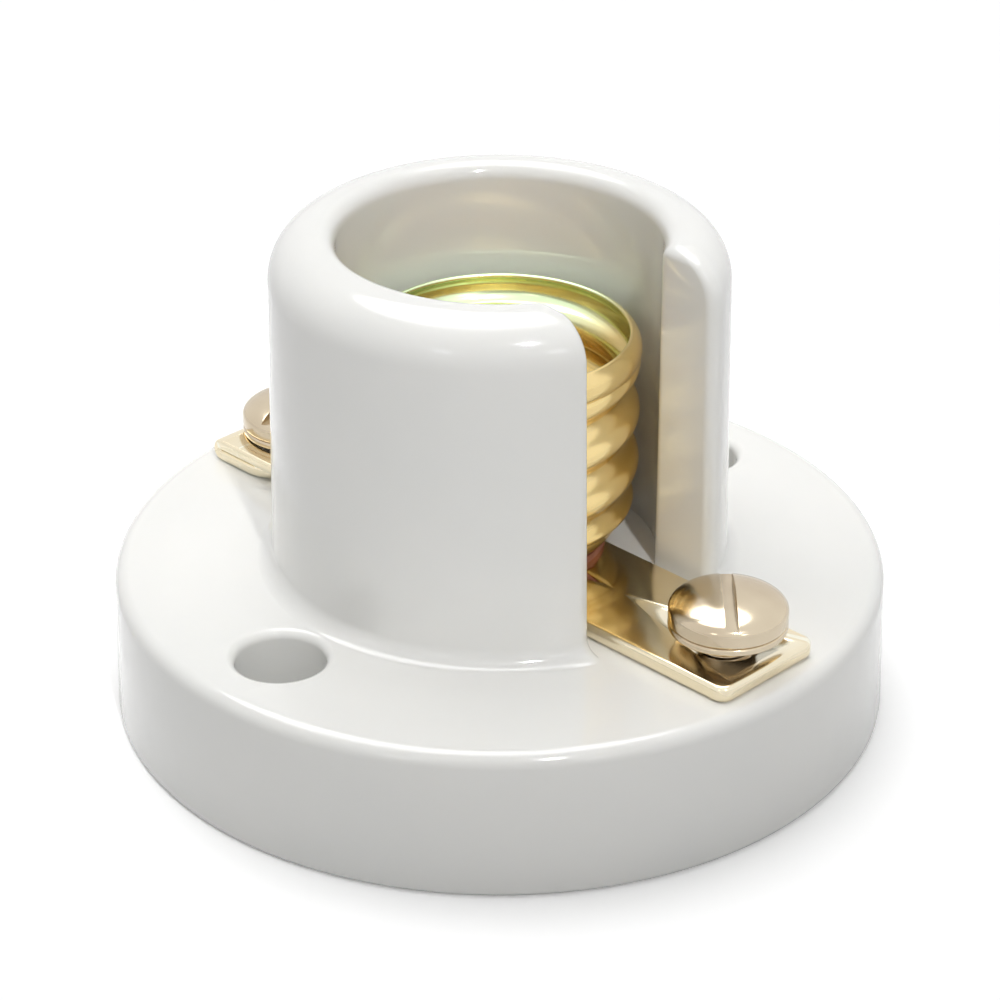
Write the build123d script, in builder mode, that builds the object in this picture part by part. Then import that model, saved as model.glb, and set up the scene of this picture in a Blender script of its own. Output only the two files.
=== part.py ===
from build123d import *
from math import acos, atan2, cos, degrees, radians, sin, tan
import os

# Screw lamp holder: a glazed porcelain rosette with a slotted barrel, a rolled brass screw shell
# and two screw terminals. Millimetres, +Z up, origin at the centre of the underside.
# +X is the centre-contact terminal, -X the shell terminal, and the fixing holes lie on Y.

os.makedirs("parts", exist_ok=True)

# Rosette, the round base
base_r = 20.5
base_t = 8.0
base_edge_r = 0.8
base_heel = 0.4
fixing_pitch = 31.0
fixing_hole_r = 2.3
fixing_mouth = 0.45

# Barrel that shrouds the shell
overall_h = 26.4
barrel_foot_r = 12.0
barrel_top_r = 11.75
foot_flare_r = 1.0
barrel_root = 1.0  # part of the barrel buried in the rosette
rim_outer_r = 2.5
rim_inner_r = 0.85
bore_r = 8.3
slot_w = 8.7
slot_edge_r = 0.6
doorway_w = 8.7
doorway_h = 2.6

# Underside
recess_r = 6.6
recess_depth = 2.2

# Screw shell, E14: right-hand rolled thread
thread_pitch = 2.822
thread_crest_r = 7.25
thread_root_r = 6.45
shell_waves = 2
first_crest_z = 13.55
shell_sheet = 0.25
shell_corner_r = 1.65
lip_curl_r = 1.1
lip_crest_z = 19.95
lip_mouth_r = 6.8
shell_hole_r = 2.7

# Terminal strips
centre_strip_t = 0.9
centre_strip_w = 7.0
centre_strip_past_screw = 2.9
centre_strip_end = -1.2
centre_strip_corner_r = 0.7
centre_strip_edge = 0.2
shell_strip_t = 0.65
shell_strip_w = 8.0
shell_strip_past_screw = 2.6
shell_strip_end = -2.6
hem_l = 5.4
hem_corner_r = 2.6
strip_screw_hole_r = 1.7
seat_outer_x = 7.8
seat_gap = 0.1  # from the end of the shell strip to the end of its raised seat

# Terminal screws, M3
screw_inset = 4.5  # from the rosette's side to the axis of each terminal screw
screw_r = 1.45
screw_len = 6.0
screw_head_r = 3.0
screw_head_h = 1.8
screw_head_round = 0.9
screw_slot_w = 0.8
screw_slot_depth = 0.9
screw_slot_turn = 135.0
screw_tip_bevel = 0.3
washer_r = 3.0
washer_hole_r = 1.6
washer_t = 0.4
nut_w = 5.0
nut_t = 1.8
nut_hole_r = 1.5
nut_bevel = 0.25
nut_gap = 0.1
well_r = 1.9
well_floor_z = 2.6
backed_out = 1.0  # how far the centre terminal's screw stands off its strip

# Centre contact
leaf_t = 0.3
leaf_w = 2.4
leaf_root_end = 2.2
leaf_bend_x = -0.8
leaf_bend_r = 1.0
leaf_pad_end = 0.9
leaf_tip_r = 0.5
leaf_tip_angle = 60.0
button_r = 1.1
button_h = 0.5
button_edge = 0.25
button_shank_r = 0.45
button_tail_r = 0.7
button_tail_h = 0.2

# Insulating plate between shell and centre strip
plate_r = 5.6
plate_flat_x = -2.4
plate_window_min_x = -2.05
plate_window_max_x = 2.45
plate_window_w = 3.1
plate_window_r = 0.4

# Rivets
shell_rivet_x = -3.54
shell_rivet_y = 1.75
centre_rivet_x = 1.35
rivet_r = 0.6
rivet_hole_r = 0.65
rivet_head_r = 0.85
rivet_head_t = 0.35
backing_r = 1.5
backing_t = 0.4

# Places and levels that follow from the sizes above
screw_at = base_r - screw_inset
centre_strip_reach = screw_at + centre_strip_past_screw
shell_strip_reach = screw_at + shell_strip_past_screw
hem_end = shell_strip_reach - hem_l
shell_seat_z = base_t + 2 * shell_strip_t
centre_strip_top = base_t + centre_strip_t
leaf_root_top = centre_strip_top + leaf_t
bend_z = centre_strip_top + leaf_t / 2 + leaf_bend_r
pad_top_z = bend_z + leaf_bend_r + leaf_t / 2
backing_z = recess_depth - backing_t
nut_floor_z = base_t - nut_t
rivet_points = [(shell_rivet_x, shell_rivet_y), (shell_rivet_x, -shell_rivet_y)]
bore_floor_z = base_t + shell_strip_t


def rounding(centre_r, centre_z, radius, start, end, flats):
    """Points of an arc in the r-z half-plane, as corners of the given number of flats."""
    angles = [radians(start + (end - start) * i / flats) for i in range(flats + 1)]
    return [(centre_r + radius * cos(a), centre_z + radius * sin(a)) for a in angles]


# ---- Porcelain body, one piece ----

# The barrel's plan is a ring with one rounded slot; its height is limited by the turned section.
with BuildPart() as barrel:
    with BuildSketch(Plane.XY.offset(base_t - barrel_root)) as plan:
        Circle(barrel_foot_r)
        Circle(bore_r, mode=Mode.SUBTRACT)
        Rectangle(barrel_foot_r, slot_w, align=(Align.MIN, Align.CENTER), mode=Mode.SUBTRACT)
        fillet(plan.vertices(), slot_edge_r)
    extrude(amount=overall_h - base_t + barrel_root)
    with BuildSketch(Plane.XZ):
        with BuildLine():
            Polyline(
                (bore_r - 1, base_t - 2 * barrel_root),
                (barrel_foot_r, base_t - 2 * barrel_root),
                (barrel_foot_r, base_t),
                *rounding(barrel_top_r - rim_outer_r, overall_h - rim_outer_r, rim_outer_r, 0, 90, 4),
                *rounding(bore_r + rim_inner_r, overall_h - rim_inner_r, rim_inner_r, 90, 180, 2),
                (bore_r - 1, overall_h - rim_inner_r),
                close=True,
            )
        make_face()
    revolve(axis=Axis.Z, mode=Mode.INTERSECT)

# The foot's flare is turned on its own and cut to the barrel's slot.
with BuildPart() as foot_flare:
    with BuildSketch(Plane.XZ):
        with BuildLine():
            Polyline(
                (barrel_foot_r - 1, base_t - 0.5),
                (barrel_foot_r + foot_flare_r, base_t - 0.5),
                *rounding(barrel_foot_r + foot_flare_r, base_t + foot_flare_r, foot_flare_r, 270, 180, 2),
                (barrel_foot_r - 1, base_t + foot_flare_r),
                close=True,
            )
        make_face()
    revolve(axis=Axis.Z)
    with BuildSketch(Plane.XY.offset(base_t - 1)):
        Rectangle(2 * barrel_foot_r, slot_w + 2 * slot_edge_r, align=(Align.MIN, Align.CENTER))
    extrude(amount=1 + foot_flare_r, mode=Mode.SUBTRACT)

with BuildPart() as porcelain_body:
    with BuildSketch(Plane.XZ):
        with BuildLine():
            Polyline(
                (0, 0),
                (base_r - base_heel, 0),
                (base_r, base_heel),
                *rounding(base_r - base_edge_r, base_t - base_edge_r, base_edge_r, 0, 90, 3),
                (0, base_t),
                close=True,
            )
        make_face()
    revolve(axis=Axis.Z)
    add(barrel.part)
    add(foot_flare.part)
    # Doorway through the foot of the wall for the shell strip
    with BuildSketch(Plane.XY.offset(base_t)):
        with Locations((-barrel_foot_r - foot_flare_r, 0)):
            Rectangle(barrel_foot_r + foot_flare_r, doorway_w, align=(Align.MIN, Align.CENTER))
    extrude(amount=doorway_h, mode=Mode.SUBTRACT)
    # Raised seat under the shell strip
    with BuildSketch(Plane.XY.offset(base_t)):
        with Locations((shell_strip_end + seat_gap, 0)):
            Rectangle(
                seat_outer_x + shell_strip_end + seat_gap,
                shell_strip_w,
                align=(Align.MAX, Align.CENTER),
            )
    extrude(amount=shell_strip_t)
    # Fixing holes, their mouths bevelled through the edge of the foot flare as well
    fixing_points = [(0, fixing_pitch / 2, base_t), (0, -fixing_pitch / 2, base_t)]
    with Locations(*fixing_points):
        Hole(fixing_hole_r, depth=base_t)
        Cone(
            fixing_hole_r,
            fixing_hole_r + 2 * fixing_mouth,
            2 * fixing_mouth,
            mode=Mode.SUBTRACT,
        )
    # Nut pockets and the wells for the screw tips
    pocket_w = nut_w + 2 * nut_gap
    with BuildSketch(Plane.XY.offset(nut_floor_z)):
        with Locations((screw_at, 0), (-screw_at, 0)):
            Rectangle(pocket_w, pocket_w)
    extrude(amount=nut_t, mode=Mode.SUBTRACT)
    with Locations((screw_at, 0, nut_floor_z), (-screw_at, 0, nut_floor_z)):
        Hole(well_r, depth=nut_floor_z - well_floor_z)
    # Underside recess and the rivet holes
    with BuildSketch(Plane.XY):
        Circle(recess_r)
    extrude(amount=recess_depth, mode=Mode.SUBTRACT)
    with Locations(*[(x, y, bore_floor_z) for x, y in rivet_points]):
        Hole(rivet_hole_r, depth=bore_floor_z)
    with Locations((centre_rivet_x, 0, base_t)):
        Hole(rivet_hole_r, depth=base_t)

# ---- Screw shell ----


def shell_surface(inset):
    """Points up one face of the sheet, from the axis over the floor and the waves to the lip."""
    corner_r = thread_root_r - shell_corner_r
    corner_z = shell_seat_z + shell_corner_r
    points = [(0, shell_seat_z + inset)]
    points += rounding(corner_r, corner_z, shell_corner_r - inset, 270, 360, 2)
    # Each wave is a flat crest between two flanks; the inner face keeps the sheet's thickness.
    shift = inset * tan(atan2(thread_crest_r - thread_root_r, thread_pitch / 4) / 2)
    for wave in range(shell_waves):
        crest_z = first_crest_z + wave * thread_pitch
        points += [
            (thread_root_r - inset, crest_z - 3 * thread_pitch / 8 + shift),
            (thread_crest_r - inset, crest_z - thread_pitch / 8 + shift),
            (thread_crest_r - inset, crest_z + thread_pitch / 8 - shift),
            (thread_root_r - inset, crest_z + 3 * thread_pitch / 8 - shift),
        ]
    lip_centre_r = thread_crest_r - lip_curl_r
    start = degrees(acos((thread_root_r - inset - lip_centre_r) / (lip_curl_r - inset)))
    end = degrees(acos((lip_mouth_r - lip_centre_r) / lip_curl_r))
    points += rounding(lip_centre_r, lip_crest_z, lip_curl_r - inset, -start, end, 4)
    return points


# The thread is rolled waves turned about the axis; its helix is a matter of looks.
with BuildPart() as screw_shell:
    with BuildSketch(Plane.XZ):
        with BuildLine():
            Polyline(*shell_surface(0), *reversed(shell_surface(shell_sheet)), close=True)
        make_face()
    revolve(axis=Axis.Z)
    with BuildSketch(Plane.XY.offset(shell_seat_z)):
        Circle(shell_hole_r)
        with Locations(*rivet_points):
            Circle(rivet_hole_r)
    extrude(amount=shell_sheet, mode=Mode.SUBTRACT)

# ---- Terminal strips ----

with BuildPart() as centre_terminal:
    with BuildSketch(Plane.XY.offset(base_t)):
        with Locations((centre_strip_reach, 0)):
            Rectangle(
                centre_strip_reach - centre_strip_end, centre_strip_w, align=(Align.MAX, Align.CENTER)
            )
    extrude(amount=centre_strip_t)
    fillet(centre_terminal.edges().filter_by(Axis.Z), centre_strip_corner_r)
    chamfer(centre_terminal.faces().sort_by(Axis.Z)[-1].edges(), centre_strip_edge)
    with Locations((screw_at, 0, centre_strip_top)):
        Hole(strip_screw_hole_r)
    with Locations((centre_rivet_x, 0, centre_strip_top)):
        Hole(rivet_hole_r)

# The shell strip's outer end is folded back flat under itself, the fold a half round.
with BuildPart() as shell_terminal:
    fold_x = -shell_strip_reach + shell_strip_t
    fold_z = base_t + shell_strip_t
    with BuildSketch(Plane.XZ):
        with BuildLine():
            Polyline(
                (fold_x, base_t),
                (shell_strip_end, base_t),
                (shell_strip_end, shell_seat_z),
                (fold_x, shell_seat_z),
            )
            ThreePointArc(
                (fold_x, shell_seat_z),
                (fold_x - shell_strip_t, fold_z),
                (fold_x, base_t),
            )
        make_face()
    extrude(amount=shell_strip_w / 2, both=True)
    # Everything under the single layer is cut away, leaving the tab with its rounded end.
    with BuildSketch(Plane.XY.offset(base_t)) as below:
        with Locations((shell_strip_end, 0)):
            Rectangle(
                shell_strip_reach + shell_strip_end, shell_strip_w + 1, align=(Align.MAX, Align.CENTER)
            )
        with Locations((-hem_end, 0)):
            RectangleRounded(
                2 * (shell_strip_reach - hem_end),
                shell_strip_w,
                hem_corner_r,
                align=(Align.MAX, Align.CENTER),
                mode=Mode.SUBTRACT,
            )
    extrude(amount=shell_strip_t, mode=Mode.SUBTRACT)
    with Locations((-screw_at, 0, shell_seat_z)):
        Hole(strip_screw_hole_r)
    with Locations(*[(x, y, shell_seat_z) for x, y in rivet_points]):
        Hole(rivet_hole_r)

# ---- Insulating plate ----

with BuildPart() as insulating_plate:
    with BuildSketch(Plane.XY.offset(centre_strip_top)):
        Circle(plate_r)
        with Locations((plate_flat_x, 0)):
            Rectangle(plate_r, 2 * plate_r, align=(Align.MAX, Align.CENTER), mode=Mode.SUBTRACT)
        window_l = plate_window_max_x - plate_window_min_x
        with Locations(((plate_window_max_x + plate_window_min_x) / 2, 0)):
            RectangleRounded(window_l, plate_window_w, plate_window_r, mode=Mode.SUBTRACT)
    extrude(amount=shell_seat_z - centre_strip_top)

# ---- Centre contact ----

with BuildPart() as contact_spring:
    tip = radians(leaf_tip_angle)
    tip_z = bend_z + leaf_bend_r - leaf_tip_r
    with BuildLine(Plane.XZ) as leaf_line:
        Line((leaf_root_end, bend_z - leaf_bend_r), (leaf_bend_x, bend_z - leaf_bend_r))
        ThreePointArc(
            (leaf_bend_x, bend_z - leaf_bend_r),
            (leaf_bend_x - leaf_bend_r, bend_z),
            (leaf_bend_x, bend_z + leaf_bend_r),
        )
        Line((leaf_bend_x, bend_z + leaf_bend_r), (leaf_pad_end, bend_z + leaf_bend_r))
        ThreePointArc(
            (leaf_pad_end, bend_z + leaf_bend_r),
            (leaf_pad_end + leaf_tip_r * sin(tip / 2), tip_z + leaf_tip_r * cos(tip / 2)),
            (leaf_pad_end + leaf_tip_r * sin(tip), tip_z + leaf_tip_r * cos(tip)),
        )
    with BuildSketch(Plane.YZ.offset(leaf_root_end)):
        with Locations((0, bend_z - leaf_bend_r)):
            Rectangle(leaf_w, leaf_t)
    sweep(path=leaf_line.line)
    with Locations((centre_rivet_x, 0, leaf_root_top)):
        Hole(rivet_hole_r, depth=leaf_t)
    with Locations((0, 0, pad_top_z)):
        Hole(button_shank_r, depth=leaf_t)

with BuildPart() as contact_button:
    with BuildSketch(Plane.XZ):
        with BuildLine():
            Polyline(
                (0, pad_top_z + button_h),
                (button_r - button_edge, pad_top_z + button_h),
                (button_r, pad_top_z + button_h - button_edge),
                (button_r, pad_top_z),
                (button_shank_r, pad_top_z),
                (button_shank_r, pad_top_z - leaf_t),
                (button_tail_r, pad_top_z - leaf_t),
                (button_tail_r, pad_top_z - leaf_t - button_tail_h),
                (0, pad_top_z - leaf_t - button_tail_h),
                close=True,
            )
        make_face()
    revolve(axis=Axis.Z)

# ---- Rivets and their backing washers ----


def rivet_section(axis_x, head_z):
    """Half-section of a set rivet whose head sits on head_z and whose tail clamps the backing."""
    Polyline(
        (axis_x, head_z + rivet_head_t),
        (axis_x + rivet_head_r, head_z + rivet_head_t),
        (axis_x + rivet_head_r, head_z),
        (axis_x + rivet_r, head_z),
        (axis_x + rivet_r, backing_z),
        (axis_x + rivet_head_r, backing_z),
        (axis_x + rivet_head_r, backing_z - rivet_head_t),
        (axis_x, backing_z - rivet_head_t),
        close=True,
    )


with BuildPart() as centre_rivet:
    with BuildSketch(Plane.XZ):
        with BuildLine():
            rivet_section(centre_rivet_x, leaf_root_top)
        make_face()
    revolve(axis=Axis((centre_rivet_x, 0, 0), (0, 0, 1)))

with BuildPart() as shell_rivet_left:
    with BuildSketch(Plane.XZ.offset(-shell_rivet_y)):
        with BuildLine():
            rivet_section(shell_rivet_x, shell_seat_z + shell_sheet)
        make_face()
    revolve(axis=Axis((shell_rivet_x, shell_rivet_y, 0), (0, 0, 1)))

with BuildPart() as shell_rivet_right:
    with BuildSketch(Plane.XZ.offset(shell_rivet_y)):
        with BuildLine():
            rivet_section(shell_rivet_x, shell_seat_z + shell_sheet)
        make_face()
    revolve(axis=Axis((shell_rivet_x, -shell_rivet_y, 0), (0, 0, 1)))

with BuildPart() as backing_washers:
    with BuildSketch(Plane.XY.offset(backing_z)):
        with Locations(*rivet_points, (centre_rivet_x, 0)):
            Circle(backing_r)
            Circle(rivet_hole_r, mode=Mode.SUBTRACT)
    extrude(amount=backing_t)

# ---- Terminal screws, washers and nuts ----

centre_washer_z = centre_strip_top + backed_out
centre_head_z = centre_washer_z + washer_t
shell_washer_z = shell_seat_z
shell_head_z = shell_washer_z + washer_t


def screw_section(axis_x, seat_z):
    """Half-section of a pan-head screw whose head rests on seat_z."""
    shoulder_r = axis_x + screw_head_r - screw_head_round
    shoulder_z = seat_z + screw_head_h - screw_head_round
    Polyline(
        (axis_x, seat_z + screw_head_h),
        *rounding(shoulder_r, shoulder_z, screw_head_round, 90, 0, 2),
        (axis_x + screw_head_r, seat_z),
        (axis_x + screw_r, seat_z),
        (axis_x + screw_r, seat_z - screw_len + screw_tip_bevel),
        (axis_x + screw_r - screw_tip_bevel, seat_z - screw_len),
        (axis_x, seat_z - screw_len),
        close=True,
    )


with BuildPart() as centre_screw:
    with BuildSketch(Plane.XZ):
        with BuildLine():
            screw_section(screw_at, centre_head_z)
        make_face()
    revolve(axis=Axis((screw_at, 0, 0), (0, 0, 1)))
    with BuildSketch(Plane.XY.offset(centre_head_z + screw_head_h)):
        with Locations((screw_at, 0)):
            Rectangle(3 * screw_head_r, screw_slot_w, rotation=screw_slot_turn)
    extrude(amount=-screw_slot_depth, mode=Mode.SUBTRACT)

with BuildPart() as shell_screw:
    with BuildSketch(Plane.XZ):
        with BuildLine():
            screw_section(-screw_at, shell_head_z)
        make_face()
    revolve(axis=Axis((-screw_at, 0, 0), (0, 0, 1)))
    with BuildSketch(Plane.XY.offset(shell_head_z + screw_head_h)):
        with Locations((-screw_at, 0)):
            Rectangle(3 * screw_head_r, screw_slot_w, rotation=screw_slot_turn)
    extrude(amount=-screw_slot_depth, mode=Mode.SUBTRACT)

with BuildPart() as centre_washer:
    with BuildSketch(Plane.XY.offset(centre_washer_z)):
        with Locations((screw_at, 0)):
            Circle(washer_r)
            Circle(washer_hole_r, mode=Mode.SUBTRACT)
    extrude(amount=washer_t)

with BuildPart() as shell_washer:
    with BuildSketch(Plane.XY.offset(shell_washer_z)):
        with Locations((-screw_at, 0)):
            Circle(washer_r)
            Circle(washer_hole_r, mode=Mode.SUBTRACT)
    extrude(amount=washer_t)

with BuildPart() as centre_nut:
    with BuildSketch(Plane.XY.offset(nut_floor_z)):
        with Locations((screw_at, 0)):
            Rectangle(nut_w, nut_w)
            Circle(nut_hole_r, mode=Mode.SUBTRACT)
    extrude(amount=nut_t)
    chamfer(centre_nut.faces().sort_by(Axis.Z)[0].outer_wire().edges(), nut_bevel)

with BuildPart() as shell_nut:
    with BuildSketch(Plane.XY.offset(nut_floor_z)):
        with Locations((-screw_at, 0)):
            Rectangle(nut_w, nut_w)
            Circle(nut_hole_r, mode=Mode.SUBTRACT)
    extrude(amount=nut_t)
    chamfer(shell_nut.faces().sort_by(Axis.Z)[0].outer_wire().edges(), nut_bevel)

# ---- Export ----

porcelain_body.part.label = "porcelain_body"
screw_shell.part.label = "screw_shell"
centre_terminal.part.label = "centre_terminal"
shell_terminal.part.label = "shell_terminal"
insulating_plate.part.label = "insulating_plate"
contact_spring.part.label = "contact_spring"
contact_button.part.label = "contact_button"
centre_rivet.part.label = "centre_rivet"
shell_rivet_left.part.label = "shell_rivet_left"
shell_rivet_right.part.label = "shell_rivet_right"
backing_washers.part.label = "backing_washers"
centre_screw.part.label = "centre_screw"
shell_screw.part.label = "shell_screw"
centre_washer.part.label = "centre_washer"
shell_washer.part.label = "shell_washer"
centre_nut.part.label = "centre_nut"
shell_nut.part.label = "shell_nut"

export_step(porcelain_body.part, "parts/porcelain_body.step")
export_step(screw_shell.part, "parts/screw_shell.step")
export_step(centre_terminal.part, "parts/centre_terminal.step")
export_step(shell_terminal.part, "parts/shell_terminal.step")
export_step(insulating_plate.part, "parts/insulating_plate.step")
export_step(contact_spring.part, "parts/contact_spring.step")
export_step(contact_button.part, "parts/contact_button.step")
export_step(centre_rivet.part, "parts/centre_rivet.step")
export_step(shell_rivet_left.part, "parts/shell_rivet_left.step")
export_step(shell_rivet_right.part, "parts/shell_rivet_right.step")
export_step(backing_washers.part, "parts/backing_washers.step")
export_step(centre_screw.part, "parts/centre_screw.step")
export_step(shell_screw.part, "parts/shell_screw.step")
export_step(centre_washer.part, "parts/centre_washer.step")
export_step(shell_washer.part, "parts/shell_washer.step")
export_step(centre_nut.part, "parts/centre_nut.step")
export_step(shell_nut.part, "parts/shell_nut.step")
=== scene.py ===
import math

import bpy
import numpy as np
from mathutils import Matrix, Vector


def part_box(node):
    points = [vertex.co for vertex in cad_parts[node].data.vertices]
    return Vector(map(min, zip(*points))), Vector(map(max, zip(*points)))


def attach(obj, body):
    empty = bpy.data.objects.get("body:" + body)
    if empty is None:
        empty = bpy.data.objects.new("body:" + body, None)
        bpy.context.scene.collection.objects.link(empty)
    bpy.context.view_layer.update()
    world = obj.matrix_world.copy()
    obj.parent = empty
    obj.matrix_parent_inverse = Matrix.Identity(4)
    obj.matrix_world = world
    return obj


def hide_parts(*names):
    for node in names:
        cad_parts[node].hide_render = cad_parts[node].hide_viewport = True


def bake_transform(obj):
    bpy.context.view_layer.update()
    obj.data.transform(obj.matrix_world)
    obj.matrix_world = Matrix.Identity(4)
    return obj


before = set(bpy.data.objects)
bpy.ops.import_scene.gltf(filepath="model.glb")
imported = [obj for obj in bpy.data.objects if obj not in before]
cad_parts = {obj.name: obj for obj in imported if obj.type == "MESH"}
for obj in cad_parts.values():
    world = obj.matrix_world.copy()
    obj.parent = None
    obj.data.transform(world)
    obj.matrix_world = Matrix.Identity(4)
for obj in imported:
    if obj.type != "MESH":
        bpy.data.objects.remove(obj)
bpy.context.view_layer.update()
mm = 0.001
print("frame loaded")


def meshFromGrid(name, grid, closeU=False, closeV=False, capFirst=False, capLast=False, flip=False):
    # quads between neighbouring points of grid[u, v]; a cap is a fan to the mean of that row
    rows, cols = grid.shape[:2]
    ids = np.arange(rows * cols).reshape(rows, cols)
    lower = ids if closeU else ids[:-1]
    upper = np.roll(ids, -1, axis=0) if closeU else ids[1:]
    if closeV:
        quads = np.stack([lower, np.roll(lower, -1, 1), np.roll(upper, -1, 1), upper], -1)
    else:
        quads = np.stack([lower[:, :-1], lower[:, 1:], upper[:, 1:], upper[:, :-1]], -1)
    quadFaces = quads.reshape(-1, 4)
    points = [grid.reshape(-1, 3)]
    count = rows * cols
    fans = []
    for wanted, row, turn in ((capFirst, 0, False), (capLast, rows - 1, True)):
        if wanted:
            ring = ids[row]
            points.append(grid[row].mean(0)[None])
            pair = (np.roll(ring, -1), ring) if not turn else (ring, np.roll(ring, -1))
            fans.append(np.stack([pair[0], pair[1], np.full(cols, count)], -1))
            count += 1
    verts = np.concatenate(points)
    triFaces = np.concatenate(fans) if fans else np.zeros((0, 3), int)
    if flip:
        quadFaces, triFaces = quadFaces[:, ::-1], triFaces[:, ::-1]
    mesh = bpy.data.meshes.new(name)
    mesh.vertices.add(len(verts))
    mesh.vertices.foreach_set("co", verts.astype(np.float32).ravel())
    loops = np.concatenate([quadFaces.ravel(), triFaces.ravel()])
    mesh.loops.add(len(loops))
    mesh.loops.foreach_set("vertex_index", loops.astype(np.int32))
    sizes = np.concatenate([np.full(len(quadFaces), 4), np.full(len(triFaces), 3)])
    starts = np.concatenate([[0], np.cumsum(sizes)[:-1]])
    mesh.polygons.add(len(sizes))
    mesh.polygons.foreach_set("loop_start", starts.astype(np.int32))
    mesh.polygons.foreach_set("use_smooth", np.ones(len(sizes), bool))
    mesh.update(calc_edges=True)
    mesh.validate()
    piece = bpy.data.objects.new(name, mesh)
    bpy.context.collection.objects.link(piece)
    return piece


def lathe(profile, steps, centre=(0.0, 0.0)):
    # every (radius, height) of the profile turned about the vertical line through centre
    turn = np.linspace(0, 2 * np.pi, steps, endpoint=False)
    radius, height = profile[:, 0][:, None], profile[:, 1][:, None]
    return np.stack([centre[0] + radius * np.cos(turn), centre[1] + radius * np.sin(turn),
                     height + 0 * turn], -1) * mm


def arcPoints(centre, radius, start, end, count):
    # a circle's arc by the cosine and sine of evenly spaced angles, in degrees
    angle = np.radians(np.linspace(start, end, count))
    return np.stack([centre[0] + radius * np.cos(angle), centre[1] + radius * np.sin(angle)], -1)


def applyModifiers(piece):
    # the mesh as its modifiers leave it takes the old one's place
    depsgraph = bpy.context.evaluated_depsgraph_get()
    finished = bpy.data.meshes.new_from_object(piece.evaluated_get(depsgraph))
    piece.modifiers.clear()
    piece.data = finished


def combine(piece, other, operation="DIFFERENCE"):
    # the other mesh is cut from the piece or joined to it, then removed
    merge = piece.modifiers.new("combine", "BOOLEAN")
    merge.operation, merge.solver, merge.object = operation, "EXACT", other
    applyModifiers(piece)
    bpy.data.objects.remove(other)


def softenEdges(piece, width, segments=3, angle=40):
    # a small round on every edge sharper than the angle
    bevel = piece.modifiers.new("soften", "BEVEL")
    bevel.width, bevel.segments, bevel.limit_method = width * mm, segments, "ANGLE"
    bevel.angle_limit = math.radians(angle)
    applyModifiers(piece)
    piece.data.polygons.foreach_set("use_smooth", np.ones(len(piece.data.polygons), bool))


def weldPoints(piece, distance=1e-7):
    # points nearer to each other than the distance become one
    weld = piece.modifiers.new("weld", "WELD")
    weld.merge_threshold = distance
    applyModifiers(piece)


def makeCutter(x, y, radius, low, high, steps=64):
    # an upright cylinder between two levels
    profile = np.array([[radius, low], [radius, high]])
    return meshFromGrid("cutter", lathe(profile, steps, (x, y)), closeV=True, capFirst=True, capLast=True)


def makePrism(corners, low, high):
    # the plan's corners set at a low and a high level, with a cap at each
    rings = np.stack([np.concatenate([corners, np.full((len(corners), 1), z)], 1) for z in (low, high)]) * mm
    return meshFromGrid("cutter", rings, closeV=True, capFirst=True, capLast=True)


def makeBlock(low, high):
    # an upright box between two opposite corners
    corners = np.array([[low[0], low[1]], [high[0], low[1]], [high[0], high[1]], [low[0], high[1]]])
    return makePrism(corners, low[2], high[2])


def newMaterial(name, color, metallic=0.0, roughness=0.4):
    # a material of one colour, with its node tree and its shader
    material = bpy.data.materials.new(name)
    material.use_nodes = True
    tree = material.node_tree
    shader = tree.nodes["Principled BSDF"]
    shader.inputs["Base Color"].default_value = (*color, 1)
    shader.inputs["Metallic"].default_value = metallic
    shader.inputs["Roughness"].default_value = roughness
    return material, tree, shader


def addNoise(tree, scale, detail=3.0, stretch=(1, 1, 1)):
    # noise over the object's own position, multiplied by the stretch on each axis
    coords = tree.nodes.new("ShaderNodeTexCoord")
    mapping = tree.nodes.new("ShaderNodeMapping")
    mapping.inputs["Scale"].default_value = stretch
    noise = tree.nodes.new("ShaderNodeTexNoise")
    noise.inputs["Scale"].default_value = scale
    noise.inputs["Detail"].default_value = detail
    tree.links.new(coords.outputs["Object"], mapping.inputs["Vector"])
    tree.links.new(mapping.outputs["Vector"], noise.inputs["Vector"])
    return noise.outputs["Fac"]


def varyColor(tree, shader, fac, dark, light, low=0.35, high=0.65):
    # the colour goes from dark to light as the noise goes from low to high
    ramp = tree.nodes.new("ShaderNodeValToRGB")
    ramp.color_ramp.elements[0].position, ramp.color_ramp.elements[0].color = low, (*dark, 1)
    ramp.color_ramp.elements[1].position, ramp.color_ramp.elements[1].color = high, (*light, 1)
    tree.links.new(fac, ramp.inputs["Fac"])
    tree.links.new(ramp.outputs["Color"], shader.inputs["Base Color"])


def varyRoughness(tree, shader, fac, low, high):
    # the roughness goes from low to high as the noise goes from 0 to 1
    spread = tree.nodes.new("ShaderNodeMapRange")
    spread.inputs["To Min"].default_value, spread.inputs["To Max"].default_value = low, high
    tree.links.new(fac, spread.inputs["Value"])
    tree.links.new(spread.outputs["Result"], shader.inputs["Roughness"])


def addBump(tree, shader, fac, depth, strength=1.0):
    # the noise taken as a height, up to the depth in mm
    bump = tree.nodes.new("ShaderNodeBump")
    bump.inputs["Distance"].default_value = depth * mm
    bump.inputs["Strength"].default_value = strength
    tree.links.new(fac, bump.inputs["Height"])
    tree.links.new(bump.outputs["Normal"], shader.inputs["Normal"])


glazeLook = {"color": (0.77, 0.77, 0.748), "warm": (0.795, 0.79, 0.765), "roughness": (0.07, 0.16),
             "rippleScale": 260.0, "rippleDepth": 0.02, "coat": 0.5, "coatRoughness": 0.04, "subsurface": 0.12,
             "subsurfaceRadius": (1.0, 0.95, 0.85), "subsurfaceScale": 0.0006}
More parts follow.
